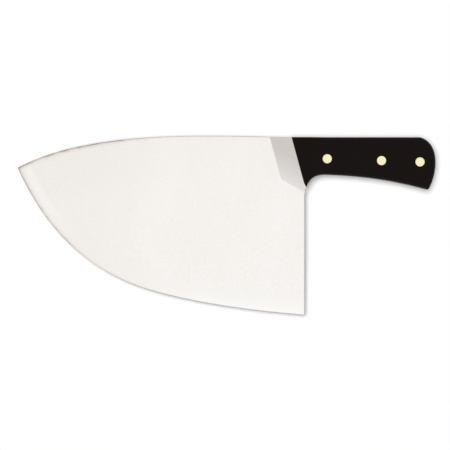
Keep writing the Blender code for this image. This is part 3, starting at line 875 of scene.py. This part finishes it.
def blade_tone(tree, strokes, edge, spine, heel):
    """How pale the ground steel is: mottled, with painted shade towards the tip and the spine, and
    painted highlights near the cutting edge.
    """
    tone = varied(tree, *BLADE_TONE, noise(tree, *BLADE_CLOUDS))
    tone = varied(tree, tone, BLADE_SPECKLE_TONE, noise(tree, *STEEL_SPECKLE))
    # painted shade, darker towards the tip and the spine
    to_tip = remap(tree, heel, *TIP_SHADE)
    to_spine = remap(tree, spine, *SPINE_SHADE)
    # painted highlights: a gleam along the edge near the heel, and a pale band along the edge towards
    # the tip
    gleam = product(tree, remap(tree, edge, *EDGE_GLEAM), remap(tree, heel, *HEEL_GLEAM))
    highlight_band = product(tree, remap(tree, edge, *HIGHLIGHT_BAND_RISE), remap(tree, edge, *HIGHLIGHT_BAND_FALL))
    highlight_band = product(tree, highlight_band, remap(tree, heel, *HIGHLIGHT_BAND_START))
    parts = (
        (to_tip, TIP_TONE), (to_spine, SPINE_TONE),
        (product(tree, to_tip, to_spine), TIP_SPINE_TONE), (gleam, GLEAM_TONE), (highlight_band, HIGHLIGHT_BAND_TONE),
    )
    return varied(tree, total(tree, tone, parts), BLADE_STROKES_TONE, strokes)


def blade_stain_and_rim_shade(tree, edge, spine, heel):
    """How brown the steel is: by wear and painted shade along its edge and spine, in blotches, and in
    its pits.
    """
    depth = product(tree, remap(tree, heel, *EDGE_WEAR_AND_SHADE_DEPTH), remap(tree, heel, *TIP_NARROWING))
    # wear and painted shade along the edge and the spine
    edge_wear_and_shade = product(tree, decay(tree, edge, depth), remap(tree, heel, *EDGE_WEAR_AND_SHADE))
    spine_wear_and_shade = product(tree, decay(tree, spine, SPINE_WEAR_AND_SHADE_DEPTH), remap(tree, heel, *SPINE_WEAR_AND_SHADE))
    wear_and_shade = arithmetic(tree, "MAXIMUM", edge_wear_and_shade, spine_wear_and_shade)
    blotches = remap(tree, noise(tree, *STAIN_BLOTCHES), *BLOTCH_CONTRAST)
    inputs = {"Vector": place_nodes(tree), "Scale": 1.0 / PIT_SPACING}
    cells = add_node(tree, "ShaderNodeTexVoronoi", inputs)
    pits = remap(tree, cells.outputs["Distance"], *PITS)
    return arithmetic(tree, "MAXIMUM", product(tree, wear_and_shade, blotches), pits)


def blade_steel():
    """Finely ground steel: mottled, with a few pits, stained and given painted shade along the rim
    towards the tip, with painted highlights near the edge and the bolster's lower crease.
    """
    material, tree, shader = new_material("blade_steel")
    edge = attribute(tree, "from_edge")
    spine = attribute(tree, "from_spine")
    heel = attribute(tree, "from_heel")
    strokes = noise(tree, *BLADE_STROKES)
    color = mixed(tree, blade_tone(tree, strokes, edge, spine, heel), STEEL_DARK, STEEL_PALE)
    # painted highlight along the cutting edge towards the heel
    edge_highlight = product(tree, decay(tree, edge, EDGE_HIGHLIGHT_DEPTH), remap(tree, heel, *EDGE_HIGHLIGHT))
    color = mixed(tree, edge_highlight, color, STEEL_HIGHLIGHT)
    # painted highlight along the bolster's lower crease
    color = crease_gleam(tree, color, BLADE_CREASE_GLEAM)
    # stain, with painted shade along the rim
    color = mixed(tree, blade_stain_and_rim_shade(tree, edge, spine, heel), color, STAIN_AND_RIM_SHADE)
    rim = decay(tree, arithmetic(tree, "MINIMUM", edge, spine), BURNT_DEPTH)
    tip = decay(tree, arithmetic(tree, "ADD", edge, spine), BURNT_RUN)
    color = mixed(tree, product(tree, rim, tip), color, BURNT)
    # painted shade along the cutting edge and the heel
    edge_rim_shade = product(tree, remap(tree, edge, *EDGE_RIM_SHADE), remap(tree, heel, *EDGE_RIM_SHADE_END))
    rim_shade = arithmetic(tree, "MAXIMUM", edge_rim_shade, remap(tree, heel, *HEEL_RIM_SHADE))
    color = mixed(tree, rim_shade, color, RIM_SHADE_GREY)
    finish_metal(tree, shader, brushed_walls(tree, color), BLADE_ROUGHNESS, strokes)
    return material


def bolster_steel():
    """The bolster's ground facets, with painted shade that lightens towards its lower crease, and
    strokes across it.
    """
    material, tree, shader = new_material("bolster_steel")
    strokes = noise(tree, *FACET_STROKES)
    # painted shade: dark on the bolster's facet, paler towards its lower crease
    painted_paleness = remap(tree, attribute(tree, "above_crease"), *FACET_SHADE, kind="LINEAR")
    tone = varied(tree, painted_paleness, FACET_SPECKLE_TONE, noise(tree, *STEEL_SPECKLE))
    tone = varied(tree, tone, FACET_STROKES_TONE, strokes)
    color = crease_gleam(tree, mixed(tree, tone, FACET_DARK, FACET_PALE), FACET_CREASE_GLEAM)
    finish_metal(tree, shader, brushed_walls(tree, color), FACET_ROUGHNESS, strokes)
    return material


def black_plastic():
    """Moulded black plastic with a fine matt skin."""
    material, tree, shader = new_material("black_plastic")
    clouds = noise(tree, *PLASTIC_CLOUDS)
    skin = noise(tree, *PLASTIC_SKIN)
    tone = varied(tree, clouds, PLASTIC_SKIN_TONE, skin)
    tree.links.new(mixed(tree, tone, PLASTIC_DARK, PLASTIC_PALE), shader.inputs["Base Color"])
    rough = varied(tree, *PLASTIC_ROUGHNESS, clouds)
    rough = varied(tree, rough, PLASTIC_SKIN_ROUGHNESS, skin)
    tree.links.new(rough, shader.inputs["Roughness"])
    shader.inputs["Specular IOR Level"].default_value = PLASTIC_SPECULAR
    bump(tree, shader, skin, SKIN_RELIEF)
    return material


def rivet_brass():
    """Pale brass, ground flush with the scales in one direction."""
    material, tree, shader = new_material("rivet_brass")
    strokes = noise(tree, *BRASS_STROKES)
    tone = varied(tree, noise(tree, *BRASS_CLOUDS), BRASS_STROKES_TONE, strokes)
    color = mixed(tree, tone, BRASS_DARK, BRASS_PALE)
    finish_metal(tree, shader, color, BRASS_ROUGHNESS, strokes)
    return material


def make_knife():
    drill = make_rivet_drill()
    forging = make_forging(drill)
    measure_forging(forging)
    steels = [blade_steel(), bolster_steel()]
    place_piece(forging, steels, "steel", "blade_forging")
    plastic = black_plastic()
    for name, side in (("left_scale", 1), ("right_scale", -1)):
        scale = make_scale("moulded_" + name, side, drill)
        place_piece(scale, [plastic], "scale_plastic", name)
    brass = rivet_brass()
    for rivet, place in zip(RIVETS, rivet_places()):
        for ending, side in (("_socket", 1), ("_pin", -1)):
            half = make_rivet_half("turned_" + rivet + ending, side, side == 1, place)
            place_piece(half, [brass], "rivet_brass", rivet + ending)
    bpy.data.objects.remove(drill)


# Studio

FLOOR_SIZE = 8.0
FLOOR_ALBEDO = 0.92
SKY_LEVELS = (-0.66, -0.42, 0.75, 1.0)  # a step, by the sideways share of a direction
SKY_ON_DIFFUSE = 0.12  # the lamp gives the rest of the light on diffuse surfaces
LAMP_STRENGTH = 3.09
LAMP_SPREAD = 38.0
LAMP_DIRECTION = (-0.135, 0.050, 1.0)
CAMERA_LENS = 150.0
CAMERA_SENSOR = 36.0
VIEW_WIDTH = 0.4396  # across the picture at the blade's left side
VIEW_CENTRE = (-0.07796, -0.08558)  # in the drawing


def make_floor():
    bm = bmesh.new()
    half = FLOOR_SIZE / 2
    corners = [(-half, -half, 0.0), (half, -half, 0.0), (half, half, 0.0), (-half, half, 0.0)]
    bm.faces.new([bm.verts.new(corner) for corner in corners])
    floor = add_object("floor", bm)
    material = bpy.data.materials.new("pale_floor")
    material.use_nodes = True
    tree = material.node_tree
    tree.nodes.clear()
    pale = (FLOOR_ALBEDO, FLOOR_ALBEDO, FLOOR_ALBEDO, 1.0)
    diffuse = add_node(tree, "ShaderNodeBsdfDiffuse", {"Color": pale})
    add_node(tree, "ShaderNodeOutputMaterial", {"Surface": diffuse.outputs["BSDF"]})
    floor.data.materials.append(material)


def make_sky():
    """A soft white sky, a little dimmer on the left, and plain white to the camera."""
    world = bpy.data.worlds.new("studio")
    bpy.context.scene.world = world
    world.use_nodes = True
    world.cycles.sampling_method = "NONE"  # so that each ray finds the sky of its own kind
    tree = world.node_tree
    tree.nodes.clear()
    coordinates = add_node(tree, "ShaderNodeTexCoord")
    parts = add_node(tree, "ShaderNodeSeparateXYZ", {"Vector": coordinates.outputs["Generated"]})
    sky = remap(tree, parts.outputs["X"], *SKY_LEVELS)
    path = add_node(tree, "ShaderNodeLightPath")
    dimmed = product(tree, path.outputs["Is Diffuse Ray"], SKY_ON_DIFFUSE - 1.0)
    level = product(tree, sky, arithmetic(tree, "ADD", dimmed, 1.0))
    white = arithmetic(tree, "MAXIMUM", path.outputs["Is Camera Ray"], level)
    inputs = {"Color": (1.0, 1.0, 1.0, 1.0), "Strength": white}
    background = add_node(tree, "ShaderNodeBackground", inputs)
    add_node(tree, "ShaderNodeOutputWorld", {"Surface": background.outputs["Background"]})


def make_lamp():
    """A broad soft lamp above, a little to the upper left, which lays the soft shadow."""
    light = bpy.data.lights.new("soft_lamp", "SUN")
    light.energy = LAMP_STRENGTH
    light.angle = math.radians(LAMP_SPREAD)
    lamp = bpy.data.objects.new("soft_lamp", light)
    lamp.rotation_euler = Vector(LAMP_DIRECTION).to_track_quat("Z", "Y").to_euler()
    lamp.visible_glossy = False
    lamp.visible_camera = False
    bpy.context.scene.collection.objects.link(lamp)


def make_camera():
    """Straight down on the blade's left side, from far enough to look flat."""
    data = bpy.data.cameras.new("camera")
    data.lens = CAMERA_LENS
    data.sensor_width = CAMERA_SENSOR
    camera = bpy.data.objects.new("camera", data)
    centre = ORIGIN + Vector((*VIEW_CENTRE, BLADE_THICKNESS / 2))
    distance = VIEW_WIDTH * CAMERA_LENS / CAMERA_SENSOR
    camera.location = centre + Vector((0.0, 0.0, distance))
    bpy.context.scene.collection.objects.link(camera)
    bpy.context.scene.camera = camera


def main():
    bpy.context.scene.view_settings.view_transform = "Standard"
    make_knife()
    make_floor()
    make_sky()
    make_lamp()
    make_camera()


main()
